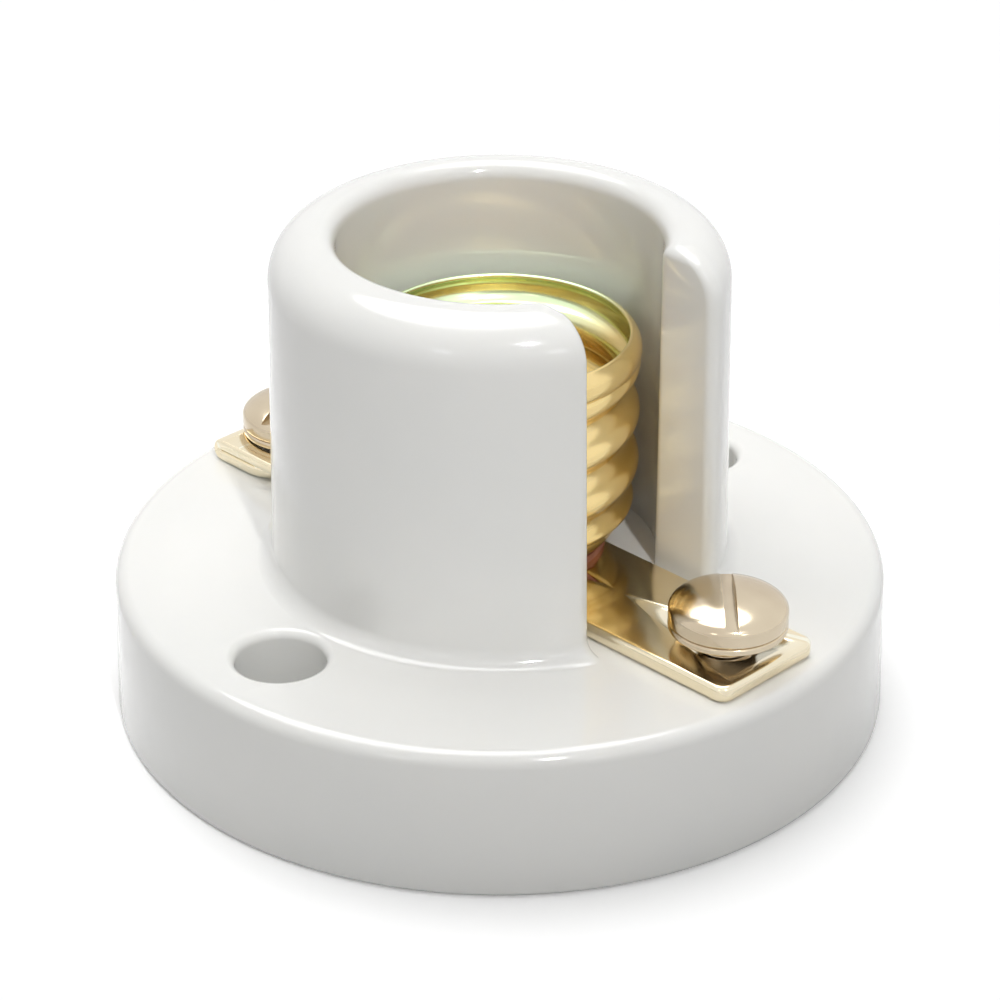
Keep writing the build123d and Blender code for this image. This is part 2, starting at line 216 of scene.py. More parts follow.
# a painted reflection: a greener colour on one side of the shell, given as a colour, a direction, and the two
# distances along it, in mm, between which it comes on
brassLook = {"dark": (0.73, 0.53, 0.20), "light": (0.91, 0.71, 0.34), "roughness": (0.14, 0.30),
             "grainDepth": 0.006, "reflectionTint": ((0.86, 1.0, 0.64), (-0.75, 0.65, 0.9), 19.5, 23.0)}
# the strips' paler convex edges are a painted highlight
stripLook = {"dark": (0.80, 0.69, 0.47), "light": (0.88, 0.78, 0.58), "roughness": (0.10, 0.22),
             "grainDepth": 0.004, "edgeHighlight": (0.93, 0.90, 0.76)}
screwLook = {"dark": (0.50, 0.40, 0.28), "light": (0.70, 0.60, 0.45), "roughness": (0.10, 0.22),
             "grainDepth": 0.006}
springLook = {"dark": (0.55, 0.30, 0.14), "light": (0.75, 0.47, 0.26), "roughness": (0.18, 0.3),
              "grainDepth": 0.004}
steelLook = {"dark": (0.45, 0.46, 0.47), "light": (0.66, 0.67, 0.68), "roughness": (0.25, 0.4),
             "grainDepth": 0.006}
boardLook = {"color": (0.30, 0.11, 0.07), "dark": (0.22, 0.08, 0.05), "light": (0.36, 0.14, 0.09),
             "roughness": 0.6, "grainDepth": 0.02}


def makeGlaze(look):
    # cloudy white under a clear coat, with soft ripples
    material, tree, shader = newMaterial("glazedPorcelain", look["color"])
    varyColor(tree, shader, addNoise(tree, 90.0), look["color"], look["warm"])
    varyRoughness(tree, shader, addNoise(tree, 700.0), *look["roughness"])
    addBump(tree, shader, addNoise(tree, look["rippleScale"], 1.0), look["rippleDepth"], 0.35)
    shader.inputs["Coat Weight"].default_value = look["coat"]
    shader.inputs["Coat Roughness"].default_value = look["coatRoughness"]
    shader.inputs["Subsurface Weight"].default_value = look["subsurface"]
    shader.inputs["Subsurface Radius"].default_value = look["subsurfaceRadius"]
    shader.inputs["Subsurface Scale"].default_value = look["subsurfaceScale"]
    return material


def mixColor(tree, factor, first, second):
    # from the first colour, or the first socket's, to the second as the factor rises
    mix = tree.nodes.new("ShaderNodeMix")
    mix.data_type = "RGBA"
    low, high = [socket for socket in mix.inputs if socket.type == "RGBA"]
    if isinstance(first, bpy.types.NodeSocket):
        tree.links.new(first, low)
    else:
        low.default_value = (*first, 1)
    high.default_value = (*second, 1)
    tree.links.new(factor, mix.inputs["Factor"])
    return [socket for socket in mix.outputs if socket.type == "RGBA"][0]


def cameraOrGlossy(tree):
    # 1 for rays from the camera and off a shiny surface, 0 for the rest
    rays, either = tree.nodes.new("ShaderNodeLightPath"), tree.nodes.new("ShaderNodeMath")
    either.operation = "MAXIMUM"
    tree.links.new(rays.outputs["Is Camera Ray"], either.inputs[0])
    tree.links.new(rays.outputs["Is Glossy Ray"], either.inputs[1])
    return either.outputs[0]


def brightenEdges(tree, shader, color, low=0.52, high=0.60):
    # painted highlight: the colour goes over to a paler one where the surface bends outward, standing in for the shine
    # along rounded edges
    source = shader.inputs["Base Color"].links[0].from_socket
    geometry, highlightShare = tree.nodes.new("ShaderNodeNewGeometry"), tree.nodes.new("ShaderNodeMapRange")
    highlightShare.inputs["From Min"].default_value, highlightShare.inputs["From Max"].default_value = low, high
    tree.links.new(geometry.outputs["Pointiness"], highlightShare.inputs["Value"])
    tree.links.new(mixColor(tree, highlightShare.outputs["Result"], source, color), shader.inputs["Base Color"])


def tintSide(tree, shader, color, towards, low, high):
    # a painted reflection: a greener colour on one side of the shell, by the object position's share along a direction
    source = shader.inputs["Base Color"].links[0].from_socket
    coords, share = tree.nodes.new("ShaderNodeTexCoord"), tree.nodes.new("ShaderNodeVectorMath")
    share.operation = "DOT_PRODUCT"
    share.inputs[1].default_value = towards
    spread = tree.nodes.new("ShaderNodeMapRange")
    spread.inputs["From Min"].default_value, spread.inputs["From Max"].default_value = low * mm, high * mm
    tree.links.new(coords.outputs["Object"], share.inputs[0])
    tree.links.new(share.outputs["Value"], spread.inputs["Value"])
    tree.links.new(mixColor(tree, spread.outputs["Result"], source, color), shader.inputs["Base Color"])


def makeBrass(name, look, stretch=(1, 1, 1), scale=900.0):
    # clouded metal with a fine grain, and a painted reflection tint or a painted edge highlight where the look has
    # them
    material, tree, shader = newMaterial(name, look["light"], metallic=1.0)
    varyColor(tree, shader, addNoise(tree, 160.0), look["dark"], look["light"], 0.25, 0.6)
    # the shell's greener far upper side is a painted reflection
    if "reflectionTint" in look:
        tintSide(tree, shader, *look["reflectionTint"])
    # the paler edges are a painted highlight
    if "edgeHighlight" in look:
        brightenEdges(tree, shader, look["edgeHighlight"])
    varyRoughness(tree, shader, addNoise(tree, 500.0, 4.0), *look["roughness"])
    addBump(tree, shader, addNoise(tree, scale, 2.0, stretch), look["grainDepth"], 0.5)
    return material


glazedPorcelain = makeGlaze(glazeLook)
rolledBrass = makeBrass("rolledBrass", brassLook, (1, 1, 3))
stripBrass = makeBrass("stripBrass", stripLook, (0.15, 1, 1))
turnedBrass = makeBrass("turnedBrass", screwLook)
springBronze = makeBrass("springBronze", springLook, (0.15, 1, 1))
platedSteel = makeBrass("platedSteel", steelLook)
fibreBoard, fibreTree, fibreShader = newMaterial("fibreBoard", boardLook["color"], roughness=boardLook["roughness"])
varyColor(fibreTree, fibreShader, addNoise(fibreTree, 800.0, 6.0), boardLook["dark"], boardLook["light"])
addBump(fibreTree, fibreShader, addNoise(fibreTree, 2500.0, 4.0), boardLook["grainDepth"])

nodeMaterials = {
    "porcelain_body": glazedPorcelain, "screw_shell": rolledBrass, "shell_terminal": stripBrass,
    "centre_terminal": stripBrass, "contact_spring": springBronze, "contact_button": turnedBrass,
    "insulating_plate": fibreBoard, "centre_rivet": turnedBrass, "shell_rivet_left": turnedBrass,
    "shell_rivet_right": turnedBrass, "backing_washers": platedSteel, "centre_nut": platedSteel,
    "shell_nut": platedSteel, "centre_washer": turnedBrass, "shell_washer": turnedBrass,
    "centre_screw": turnedBrass, "shell_screw": turnedBrass}
for nodeName, material in nodeMaterials.items():
    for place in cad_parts[nodeName].material_slots:
        place.material = material
print("materials made")

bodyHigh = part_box("porcelain_body")[1]
porcelainShape = {"radius": bodyHigh[0] / mm, "topRadius": bodyHigh[0] / mm - 0.2, "thick": 8.0, "edge": 0.8,
                  "heel": 0.4, "recess": 6.6, "recessDepth": 2.2, "top": bodyHigh[2] / mm, "bore": 8.3,
                  "foot": 12.0, "neck": 11.75, "flare": 1.0, "root": 1.0, "rimOuter": 2.5, "rimInner": 0.85,
                  "slot": 4.35, "slotEdge": 0.6, "sink": 0.02, "holeAt": 15.5, "hole": 2.3,
                  "holeEnds": (-1.0, 9.5), "mouth": 0.5, "mouthLift": 0.01,
                  "seat": ((-7.8, -4.0, 7.0), (-2.5, 4.0, 8.65)), "door": ((-15, -4.35, 6.5), (-7, 4.35, 10.6)),
                  "pocketAt": 16.0, "pocket": 2.6, "pocketEnds": (6.2, 9), "well": 1.9, "wellEnds": (2.6, 7),
                  "centre": 0.5, "recessEdge": 0.15, "steps": 192, "holeSteps": 96, "sharp": 32}


def rosetteProfile(shape):
    # up the recess wall, out along the underside, heel, side, rounded edge and in along the top
    radius, thick, edge = shape["radius"], shape["thick"], shape["edge"]
    rounded = arcPoints((shape["topRadius"] - edge, thick - edge), edge, 2, 90, 14)
    inward = np.linspace(shape["topRadius"] - edge, shape["centre"], 12)[1:]
    return np.concatenate([[[shape["centre"], shape["recessDepth"]], [shape["recess"], shape["recessDepth"]],
                            [shape["recess"], shape["recessEdge"]], [shape["recess"] + shape["recessEdge"], 0]],
                           arcPoints((radius - shape["heel"], shape["heel"]), shape["heel"], 270, 360, 7),
                           rounded, np.stack([inward, np.full(len(inward), thick)], -1)])


def wallLevels(shape):
    # height, outer radius, inner radius and slot limit of each level: flare, tapered wall and rim
    flare, rim, inner, top = shape["flare"], shape["rimOuter"], shape["rimInner"], shape["top"]
    foot = arcPoints((shape["foot"] + flare, shape["thick"] + flare - shape["sink"]), flare, 270, 180, 14)
    outerRim = arcPoints((shape["neck"] - rim, top - rim), rim, 0, 90, 34)
    wall = np.linspace(foot[-1], outerRim[0], 14)[1:-1]
    outer = np.concatenate([[[shape["foot"] + flare, shape["thick"] - shape["root"]]], foot, wall, outerRim])
    height = outer[:, 1]
    rise = np.clip(height - (top - inner), 0, inner)
    bore = shape["bore"] + inner - np.sqrt(inner ** 2 - rise ** 2)
    edge = shape["slotEdge"]
    lean = np.clip(height - (top - edge), 0, edge)
    limit = shape["slot"] + edge - np.sqrt(edge ** 2 - lean ** 2)
    # both ends of the stack close to a line inside the wall
    middle = (outer[[0, -1], 0] + bore[[0, -1]]) / 2
    height = np.concatenate([height[:1], height, height[-1:]])
    reach = np.concatenate([middle[:1], outer[:, 0], middle[1:]])
    bore = np.concatenate([middle[:1], bore, middle[1:]])
    return height, reach, bore, np.concatenate([limit[:1], limit, limit[-1:]])


def barrelWall(shape):
    # each level is a ring open between y = -limit and limit on +X, its four corners rounded; the
    # corner circles' centres lie one corner radius inside the ring and beyond the limit
    height, outer, bore, limit = wallLevels(shape)
    edge = np.minimum(shape["slotEdge"], (outer - bore) / 2)
    centreY = limit + edge
    outerX = np.sqrt(np.clip((outer - edge) ** 2 - centreY ** 2, 0, None))
    boreX = np.sqrt(np.clip((bore + edge) ** 2 - centreY ** 2, 0, None))
    outerTurn, boreTurn = np.arctan2(centreY, outerX), np.arctan2(centreY, boreX)
    corner, ring = np.linspace(0, 1, 7)[None], np.linspace(0, 1, 161)[None, 1:-1]

    def arc(x, y, radius, start, end, spots):
        # points on each level's circle at the given shares of the way between two angles
        angle = start[:, None] + (end - start)[:, None] * spots
        return np.stack([x[:, None] + radius[:, None] * np.cos(angle),
                         y[:, None] + radius[:, None] * np.sin(angle)], -1)

    none, quarter, full = np.zeros_like(edge), np.full_like(edge, np.pi / 2), np.full_like(edge, 2 * np.pi)
    loop = np.concatenate([
        arc(outerX, centreY, edge, -quarter, outerTurn, corner),
        arc(none, none, outer, outerTurn, full - outerTurn, ring),
        arc(outerX, -centreY, edge, -outerTurn, quarter, corner),
        arc(boreX, -centreY, edge, quarter, np.pi - boreTurn, corner),
        arc(none, none, bore, full - boreTurn, boreTurn, ring),
        arc(boreX, centreY, edge, np.pi + boreTurn, 3 * quarter, corner)], 1)
    return np.concatenate([loop, np.broadcast_to(height[:, None, None], loop.shape[:2] + (1,))], -1) * mm


def mouthProfile(shape):
    # a straight hole that opens at the top along a quarter circle, then goes straight up
    mouth, (low, high) = shape["mouth"], shape["holeEnds"]
    opening = arcPoints((shape["hole"] + mouth, shape["thick"] - mouth + shape["mouthLift"]), mouth, 180, 96, 12)
    return np.concatenate([[[shape["hole"], low]], opening, [[opening[-1, 0], high]]])


def makePorcelain(shape):
    # the rosette joined to the wall and to the strip's seat, then the holes, pockets and wells cut out
    body = meshFromGrid("porcelain", lathe(rosetteProfile(shape), shape["steps"]), closeV=True, capFirst=True,
                        capLast=True)
    wall = meshFromGrid("wall", barrelWall(shape), closeV=True)
    weldPoints(wall)
    combine(wall, makeBlock(*shape["door"]))
    combine(body, wall, "UNION")
    combine(body, makeBlock(*shape["seat"]), "UNION")
    for y in (shape["holeAt"], -shape["holeAt"]):
        combine(body, meshFromGrid("hole", lathe(mouthProfile(shape), shape["holeSteps"], (0, y)), closeV=True,
                                   capFirst=True, capLast=True))
    pocket, (pocketLow, pocketHigh) = shape["pocket"], shape["pocketEnds"]
    for x in (shape["pocketAt"], -shape["pocketAt"]):
        combine(body, makeBlock((x - pocket, -pocket, pocketLow), (x + pocket, pocket, pocketHigh)))
        combine(body, makeCutter(x, 0, shape["well"], *shape["wellEnds"]))
    body.data.set_sharp_from_angle(angle=math.radians(shape["sharp"]))
    return body


porcelain = makePorcelain(porcelainShape)
porcelain.data.materials.clear()
porcelain.data.materials.append(glazedPorcelain)
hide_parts("porcelain_body")
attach(porcelain, "holder")
print("porcelain made")

shellShape = {"sheet": 0.25, "pitch": 2.822, "crest": 7.125, "root": 6.325, "crestZ": 13.3,
              "floorZ": 9.425, "floorHole": 2.7, "corner": 1.525, "runout": 10.6,
              "lipCrest": 7.185, "lipCurl": 0.975, "lipZ": 19.95, "mouth": 6.78, "steps": 240,
              "holeEdge": 0.12, "runoutSlope": 0.9, "runoutBlend": 0.25, "lipBlend": 0.12}


def threadRadius(turn, height, shape):
    # equal-depth crest and trough arcs, tangent on the flank, by distance from the nearest crest
    pitch, depth = shape["pitch"], shape["crest"] - shape["root"]
    mid = (pitch ** 2 / 4 + depth ** 2) / (4 * depth)
    crestArc, troughArc = mid - shape["sheet"] / 2, mid + shape["sheet"] / 2
    flank = math.asin(pitch / 4 / mid)
    away = np.abs((height - shape["crestZ"] - pitch * turn / (2 * np.pi) + pitch / 2) % pitch - pitch / 2)
    onCrest = shape["crest"] - crestArc + np.sqrt(np.clip(crestArc ** 2 - away ** 2, 0, None))
    rest = pitch / 2 - away
    onTrough = shape["root"] + troughArc - np.sqrt(np.clip(troughArc ** 2 - rest ** 2, 0, None))
    return np.where(away < crestArc * math.sin(flank), onCrest, onTrough)


def softMax(a, b, blend):
    # the larger of the two, raised by a parabola where they differ by less than the blend
    gap = np.clip(blend - np.abs(a - b), 0, None) / blend
    return np.maximum(a, b) + gap ** 2 * blend / 4


def shellPoints(shape):
    # the sheet's middle surface: floor, corner, wall and lip by arc length and turn, with the wall's
    # radius the thread limited by a run-out cone and joined to the lip's curl; then both faces are
    # the middle surface moved half the sheet along its normal, joined by a half round at each edge
    turn = np.linspace(0, 2 * np.pi, shape["steps"], endpoint=False)
    wallR = shape["root"]
    floorR = np.linspace(shape["floorHole"] + shape["holeEdge"], wallR - shape["corner"], 10)
    corner = arcPoints((wallR - shape["corner"], shape["floorZ"] + shape["corner"]), shape["corner"], -90, 0, 16)
    curlX = shape["lipCrest"] - shape["lipCurl"]
    endAngle = math.degrees(math.acos((shape["mouth"] - curlX) / shape["lipCurl"]))
    curl = arcPoints((curlX, shape["lipZ"]), shape["lipCurl"], 0, endAngle, 16)
    wallZ = np.linspace(corner[-1, 1], shape["lipZ"], 122)[1:]
    ones = np.ones_like(turn)
    thread = threadRadius(turn[None], wallZ[:, None], shape)
    cone = wallR + np.clip(wallZ[:, None] - shape["runout"], 0, None) * shape["runoutSlope"]
    thread = -softMax(-thread, -cone * ones, shape["runoutBlend"])
    lipReach = np.clip(shape["lipCurl"] ** 2 - (wallZ[:, None] - shape["lipZ"]) ** 2, 0, None)
    lip = np.where(lipReach > 0, curlX + np.sqrt(lipReach), 0)
    wall = softMax(thread, lip * ones, shape["lipBlend"])
    wall[-1] = shape["lipCrest"]
    radius = np.concatenate([floorR[:-1, None] * ones, corner[:, :1] * ones, wall, curl[1:, :1] * ones])
    height = np.concatenate([shape["floorZ"] + 0 * floorR[:-1, None] * ones, corner[:, 1:] * ones,
                             wallZ[:, None] * ones, curl[1:, 1:] * ones])
    middle = np.stack([radius * np.cos(turn), radius * np.sin(turn), height], -1)
    along = np.gradient(middle, axis=0)
    around = (np.roll(middle, -1, 1) - np.roll(middle, 1, 1)) / 2
    normal = np.cross(around, along)
    normal /= np.linalg.norm(normal, axis=-1, keepdims=True)
    tangent = along / np.linalg.norm(along, axis=-1, keepdims=True)
    half = shape["sheet"] / 2
    lean = np.radians([30, 60, 90, 120, 150])[:, None, None]
    topEdge = middle[-1] + half * (np.cos(lean) * normal[-1] + np.sin(lean) * tangent[-1])
    lowEdge = middle[0] - half * (np.cos(lean) * normal[0] + np.sin(lean) * tangent[0])
    return np.concatenate([middle + half * normal, topEdge, (middle - half * normal)[::-1], lowEdge]) * mm


shell = meshFromGrid("rolledShell", shellPoints(shellShape), closeU=True, closeV=True)
shell.data.materials.append(rolledBrass)
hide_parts("screw_shell")
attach(shell, "holder")
print("screw shell made")

centreStripShape = {"low": 8.0, "thick": 0.9, "width": 7.0, "from": -1.2, "to": 18.9, "edge": 0.26,
                    "cornerRadius": 0.75, "screwHole": (16.0, 1.7), "rivetHole": (1.35, 0.65), "cut": (7.0, 10.0)}


def roundedSection(halfWidth, halfHeight, radius, count=6):
    # a rectangle with quarter-circle corners, counter-clockwise from the right side; sizes may be arrays
    x, y = np.asarray(halfWidth)[..., None] - radius, np.asarray(halfHeight)[..., None] - radius
    angle = np.radians(np.linspace(0, 90, count))
    quarters = []
    for k, (right, top) in enumerate(((1, 1), (-1, 1), (-1, -1), (1, -1))):
        spin = angle + k * np.pi / 2
        quarters.append(np.stack([right * x + radius * np.cos(spin), top * y + radius * np.sin(spin)], -1))
    return np.concatenate(quarters, -2)


def platePoints(outline, low, thick, edge, rings=5):
    # the outline pulled in by the edge's quarter circle at the bottom and top, one ring per height
    lean = np.radians(np.linspace(0, 90, rings))
    inset = edge * (1 - np.cos(lean))
    rise = edge * (1 - np.sin(lean))
    following, before = np.roll(outline, -1, 0), np.roll(outline, 1, 0)
    along = following - before
    normal = np.stack([along[:, 1], -along[:, 0]], -1)
    normal /= np.linalg.norm(normal, axis=1, keepdims=True)
    levels = [(inset[k], low + rise[k]) for k in range(rings - 1, -1, -1)]
    levels += [(inset[k], low + thick - rise[k]) for k in range(rings)]
    return np.stack([np.concatenate([outline - normal * shift, np.full((len(outline), 1), height)], 1)
                     for shift, height in levels]) * mm


def makeCentreStrip(shape):
    # the rounded outline raised to the plate's thickness, with a hole for the screw and one for the rivet
    middle = ((shape["from"] + shape["to"]) / 2, 0)
    outline = roundedSection((shape["to"] - shape["from"]) / 2, shape["width"] / 2, shape["cornerRadius"], 10)
    outline = outline + middle
    strip = meshFromGrid("centreStrip", platePoints(outline, shape["low"], shape["thick"], shape["edge"]),
                         closeV=True, capFirst=True, capLast=True)
    for x, radius in (shape["screwHole"], shape["rivetHole"]):
        combine(strip, makeCutter(x, 0, radius, *shape["cut"]))
    return strip


centreStrip = makeCentreStrip(centreStripShape)
centreStrip.data.materials.append(stripBrass)
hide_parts("centre_terminal")
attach(centreStrip, "holder")
print("centre strip made")

shellStripShape = {"low": 8.0, "sheet": 0.65, "width": 8.0, "from": -2.6, "to": -18.6, "hemEnd": -13.2,
                   "hemRadius": 2.6, "hemGap": 0.03, "edge": 0.16, "screwHole": (-16.0, 1.7), "cut": (7.0, 11.0),
                   "steps": 260}


def stripPath(shape):
    # the sheet's middle line in x and z: out along the top layer, a half round, back along the hem
    half = shape["sheet"] / 2
    foldX = shape["to"] + shape["sheet"]
    fold = arcPoints((foldX, shape["low"] + shape["sheet"]), half, 90, 270, 25)
    return np.concatenate([[[shape["from"], shape["low"] + 3 * half]], fold, [[shape["hemEnd"], shape["low"] + half]]])


def spacedAlong(path, edge, steps):
    # the path's points again by arc length, crowded together within the edge's radius of both ends
    length = np.concatenate([[0], np.cumsum(np.linalg.norm(np.diff(path, axis=0), axis=1))])
    near = edge * (1 - np.cos(np.radians(np.linspace(0, 90, 6))))
    spots = np.concatenate([near, np.linspace(edge, length[-1] - edge, steps)[1:-1], length[-1] - near[::-1]])
    return np.stack([np.interp(spots, length, path[:, 0]), np.interp(spots, length, path[:, 1])], -1), spots


def sweepSection(path, spots, halfWidths, halfHeight, edge):
    # a rounded rectangle carried along the path, across y, its height along the path's normal; near
    # each end the section is drawn in by a quarter circle of the edge's radius
    along = np.gradient(path, spots, axis=0)
    along /= np.linalg.norm(along, axis=1, keepdims=True)
    fromEnd = np.clip(np.minimum(spots, spots[-1] - spots), 0, edge)
    inset = edge - np.sqrt(edge ** 2 - (edge - fromEnd) ** 2)
    drawn, corner = inset * 0.999, edge * 0.98  # a little short, so that no end ring closes to a line
    section = roundedSection(halfWidths - drawn, halfHeight - drawn, corner)
    lift = section[..., 1]
    return np.stack([path[:, :1] - along[:, 1:] * lift, section[..., 0], path[:, 1:] + along[:, :1] * lift], -1) * mm


def makeShellStrip(shape):
    # the hem's corners are quarter circles in plan, so its width closes in towards its end
    path, spots = spacedAlong(stripPath(shape), shape["edge"], shape["steps"])
    reach = np.clip(shape["hemRadius"] - (spots[-1] - spots), 0, shape["hemRadius"])
    halfWidths = shape["width"] / 2 - shape["hemRadius"] + np.sqrt(shape["hemRadius"] ** 2 - reach ** 2)
    rings = sweepSection(path, spots, halfWidths, shape["sheet"] / 2 - shape["hemGap"] / 2, shape["edge"])
    strip = meshFromGrid("shellStrip", rings, closeV=True, capFirst=True, capLast=True)
    x, radius = shape["screwHole"]
    combine(strip, makeCutter(x, 0, radius, *shape["cut"]))
    return strip


shellStrip = makeShellStrip(shellStripShape)
shellStrip.data.materials.append(stripBrass)
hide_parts("shell_terminal")
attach(shellStrip, "holder")
print("shell strip made")

screwShape = {"headRadius": 3.0, "headHeight": 1.68, "side": 0.65, "heel": 0.15,
              "slotWidth": 0.65, "slotDepth": 0.72, "soften": 0.07, "rootRadius": 1.2, "crestRadius": 1.45,
              "length": 6.0, "pitch": 0.5, "crestFlat": 1.15, "tip": 0.15, "sunk": 0.1, "centre": 0.05,
              "steps": 128}
washerShape = {"radius": 3.0, "hole": 1.6, "thick": 0.4, "edge": 0.13}
terminals = {"centre": {"at": 16.0, "washerLow": 9.9, "slotTurn": 135.0, "driver": "centre_driver",
                        "clamp": "centre_clamp"},
             "shell": {"at": -16.0, "washerLow": 9.3, "slotTurn": 102.0, "driver": "shell_driver",
                       "clamp": "shell_clamp"}}


def headProfile(shape, low):
    # underside, small heel, straight side, then a quarter ellipse from the side up to the middle
    radius, heel, rise = shape["headRadius"], shape["heel"], shape["headHeight"] - shape["side"]
    turn = np.radians(np.linspace(0, 89, 24))  # just short of the middle, which the cap closes
    dome = np.stack([radius * np.cos(turn), low + shape["side"] + rise * np.sin(turn)], -1)
    return np.concatenate([[[shape["centre"], low], [radius - heel, low]],
                           arcPoints((radius - heel, low + heel), heel, -60, 0, 4), dome])


def threadPoints(shape, x, low):
    # radius swings from root to crest with height less the turn's share of the pitch, fading at the tip
    turn = np.linspace(0, 2 * np.pi, 48, endpoint=False)
    height = np.linspace(low - shape["length"], low + shape["sunk"], 140)[:, None]
    wave = np.abs(((height - shape["pitch"] * turn / (2 * np.pi)) / shape["pitch"]) % 1 - 0.5) * 2
    depth = shape["crestRadius"] - shape["rootRadius"]
    radius = shape["rootRadius"] + depth * np.clip(wave * shape["crestFlat"], 0, 1)
    radius = np.minimum(radius, shape["rootRadius"] - shape["tip"] + (height - low + shape["length"]))
    return np.stack([x + radius * np.cos(turn), radius * np.sin(turn), height + 0 * turn], -1) * mm


def makeSlotCutter(x, turn, low, width, length=4.0, height=3.0):
    # a long box across the head, turned about the screw's own axis
    corners = np.array([[-length, -width / 2], [length, -width / 2], [length, width / 2], [-length, width / 2]])
    spin = math.radians(turn)
    across = np.stack([x + corners[:, 0] * math.cos(spin) - corners[:, 1] * math.sin(spin),
                       corners[:, 0] * math.sin(spin) + corners[:, 1] * math.cos(spin)], -1)
    return makePrism(across, low, low + height)


def washerProfile(shape, low):
    # a rectangle between hole and rim with a quarter circle at each corner
    edge, inner, outer, high = shape["edge"], shape["hole"], shape["radius"], low + shape["thick"]
    return np.concatenate([arcPoints((outer - edge, low + edge), edge, -90, 0, 5),
                           arcPoints((outer - edge, high - edge), edge, 0, 90, 5),
                           arcPoints((inner + edge, high - edge), edge, 90, 180, 5),
                           arcPoints((inner + edge, low + edge), edge, 180, 270, 5)])


for name, place in terminals.items():
    seat = place["washerLow"] + washerShape["thick"]
    head = meshFromGrid(name + "ScrewHead", lathe(headProfile(screwShape, seat), screwShape["steps"],
                                                  (place["at"], 0)), closeV=True, capFirst=True, capLast=True)
    slotLow = seat + screwShape["headHeight"] - screwShape["slotDepth"]
    combine(head, makeSlotCutter(place["at"], place["slotTurn"], slotLow, screwShape["slotWidth"]))
    softenEdges(head, screwShape["soften"])
    thread = meshFromGrid(name + "ScrewThread", threadPoints(screwShape, place["at"], seat),
                          closeV=True, capFirst=True, capLast=True)
    washer = meshFromGrid(name + "Washer", lathe(washerProfile(washerShape, place["washerLow"]), screwShape["steps"],
                                                 (place["at"], 0)), closeU=True, closeV=True)
    for piece, body, node in ((head, "driver", "_screw"), (thread, "driver", "_screw"), (washer, "clamp", "_washer")):
        piece.data.materials.append(turnedBrass)
        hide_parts(name + node)
        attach(piece, place[body])
print("screws and washers made")

leafShape = {"thick": 0.3, "width": 2.4, "rootEnd": 2.2, "bendX": -0.8, "bendRadius": 1.0, "low": 8.9,
             "padEnd": 0.9, "tipRadius": 0.5, "tipAngle": 60.0, "edge": 0.05, "steps": 90}


def leafPath(shape):
    # root along x, a half round at the bend, the pad back over the root, and the tip turned down
    rootZ = shape["low"] + shape["thick"] / 2
    bend = arcPoints((shape["bendX"], rootZ + shape["bendRadius"]), shape["bendRadius"], 270, 90, 25)
    root = np.stack([np.linspace(shape["rootEnd"], shape["bendX"], 20), np.full(20, rootZ)], -1)
    padZ = rootZ + 2 * shape["bendRadius"]
    pad = np.stack([np.linspace(shape["bendX"], shape["padEnd"], 14), np.full(14, padZ)], -1)
    tip = arcPoints((shape["padEnd"], padZ - shape["tipRadius"]), shape["tipRadius"], 90, 90 - shape["tipAngle"], 9)
    return np.concatenate([root, bend[1:], pad[1:], tip[1:]])


buttonShape = {"radius": 1.1, "height": 0.5, "crown": 0.12, "edge": 0.28, "shank": 0.45, "tail": 0.7,
               "tailHeight": 0.2, "centre": 0.04, "steps": 64}


def buttonProfile(shape, padTop, leafThick):
    # tail, shank through the leaf, quarter-round head edge, and a crown that falls as the radius squared
    top, low = padTop + shape["height"] - shape["crown"], padTop - leafThick
    flat = shape["radius"] - shape["edge"]
    crownR = np.linspace(flat, shape["centre"], 6)
    crown = np.stack([crownR, top + shape["crown"] * (1 - (crownR / flat) ** 2)], -1)
    return np.concatenate([[[shape["centre"], low - shape["tailHeight"]], [shape["tail"], low - shape["tailHeight"]],
                            [shape["tail"], low], [shape["shank"], low], [shape["shank"], padTop],
                            [shape["radius"], padTop]],
                           arcPoints((flat, top - shape["edge"]), shape["edge"], 0, 90, 7), crown[1:]])


rivetShape = {"head": 0.85, "high": 0.35, "shank": 0.6, "domeShare": 0.75, "centre": 0.04, "steps": 48, "sharp": 40}


def rivetProfile(shape, low, high):
    # tail dome, shank and head dome; a dome falls with the fourth power of the radius
    radius = np.linspace(shape["centre"], shape["head"], 14)
    dome = shape["high"] * shape["domeShare"] * (radius / shape["head"]) ** 4
    tail, head = np.stack([radius, low + dome], -1), np.stack([radius, high - dome], -1)
    shank = [[shape["head"], low + shape["high"]], [shape["shank"], low + shape["high"]],
             [shape["shank"], high - shape["high"]], [shape["head"], high - shape["high"]]]
    return np.concatenate([tail, shank, head[::-1]])


for node in ("centre_rivet", "shell_rivet_left", "shell_rivet_right"):
    low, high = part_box(node)
    middle = ((low[0] + high[0]) / 2 / mm, (low[1] + high[1]) / 2 / mm)
    rivet = meshFromGrid(node + "Head", lathe(rivetProfile(rivetShape, low[2] / mm, high[2] / mm),
                                                rivetShape["steps"], middle),
                         closeV=True, capFirst=True, capLast=True)
    rivet.data.set_sharp_from_angle(angle=math.radians(rivetShape["sharp"]))
    rivet.data.materials.append(turnedBrass)
    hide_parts(node)
    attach(rivet, "holder")

path, spots = spacedAlong(leafPath(leafShape), leafShape["edge"], leafShape["steps"])
leafRings = sweepSection(path, spots, np.full(len(path), leafShape["width"] / 2), leafShape["thick"] / 2,
                         leafShape["edge"])
leaf = meshFromGrid("contactLeaf", leafRings, closeV=True, capFirst=True, capLast=True)
leaf.data.materials.append(springBronze)
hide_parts("contact_spring")
padTop = leafShape["low"] + leafShape["thick"] + 2 * leafShape["bendRadius"]
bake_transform(leaf)
button = meshFromGrid("contactButton", lathe(buttonProfile(buttonShape, padTop, leafShape["thick"]),
                                              buttonShape["steps"]), closeV=True, capFirst=True, capLast=True)
button.data.materials.append(turnedBrass)
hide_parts("contact_button")
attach(button, "contact")
print("centre contact made")

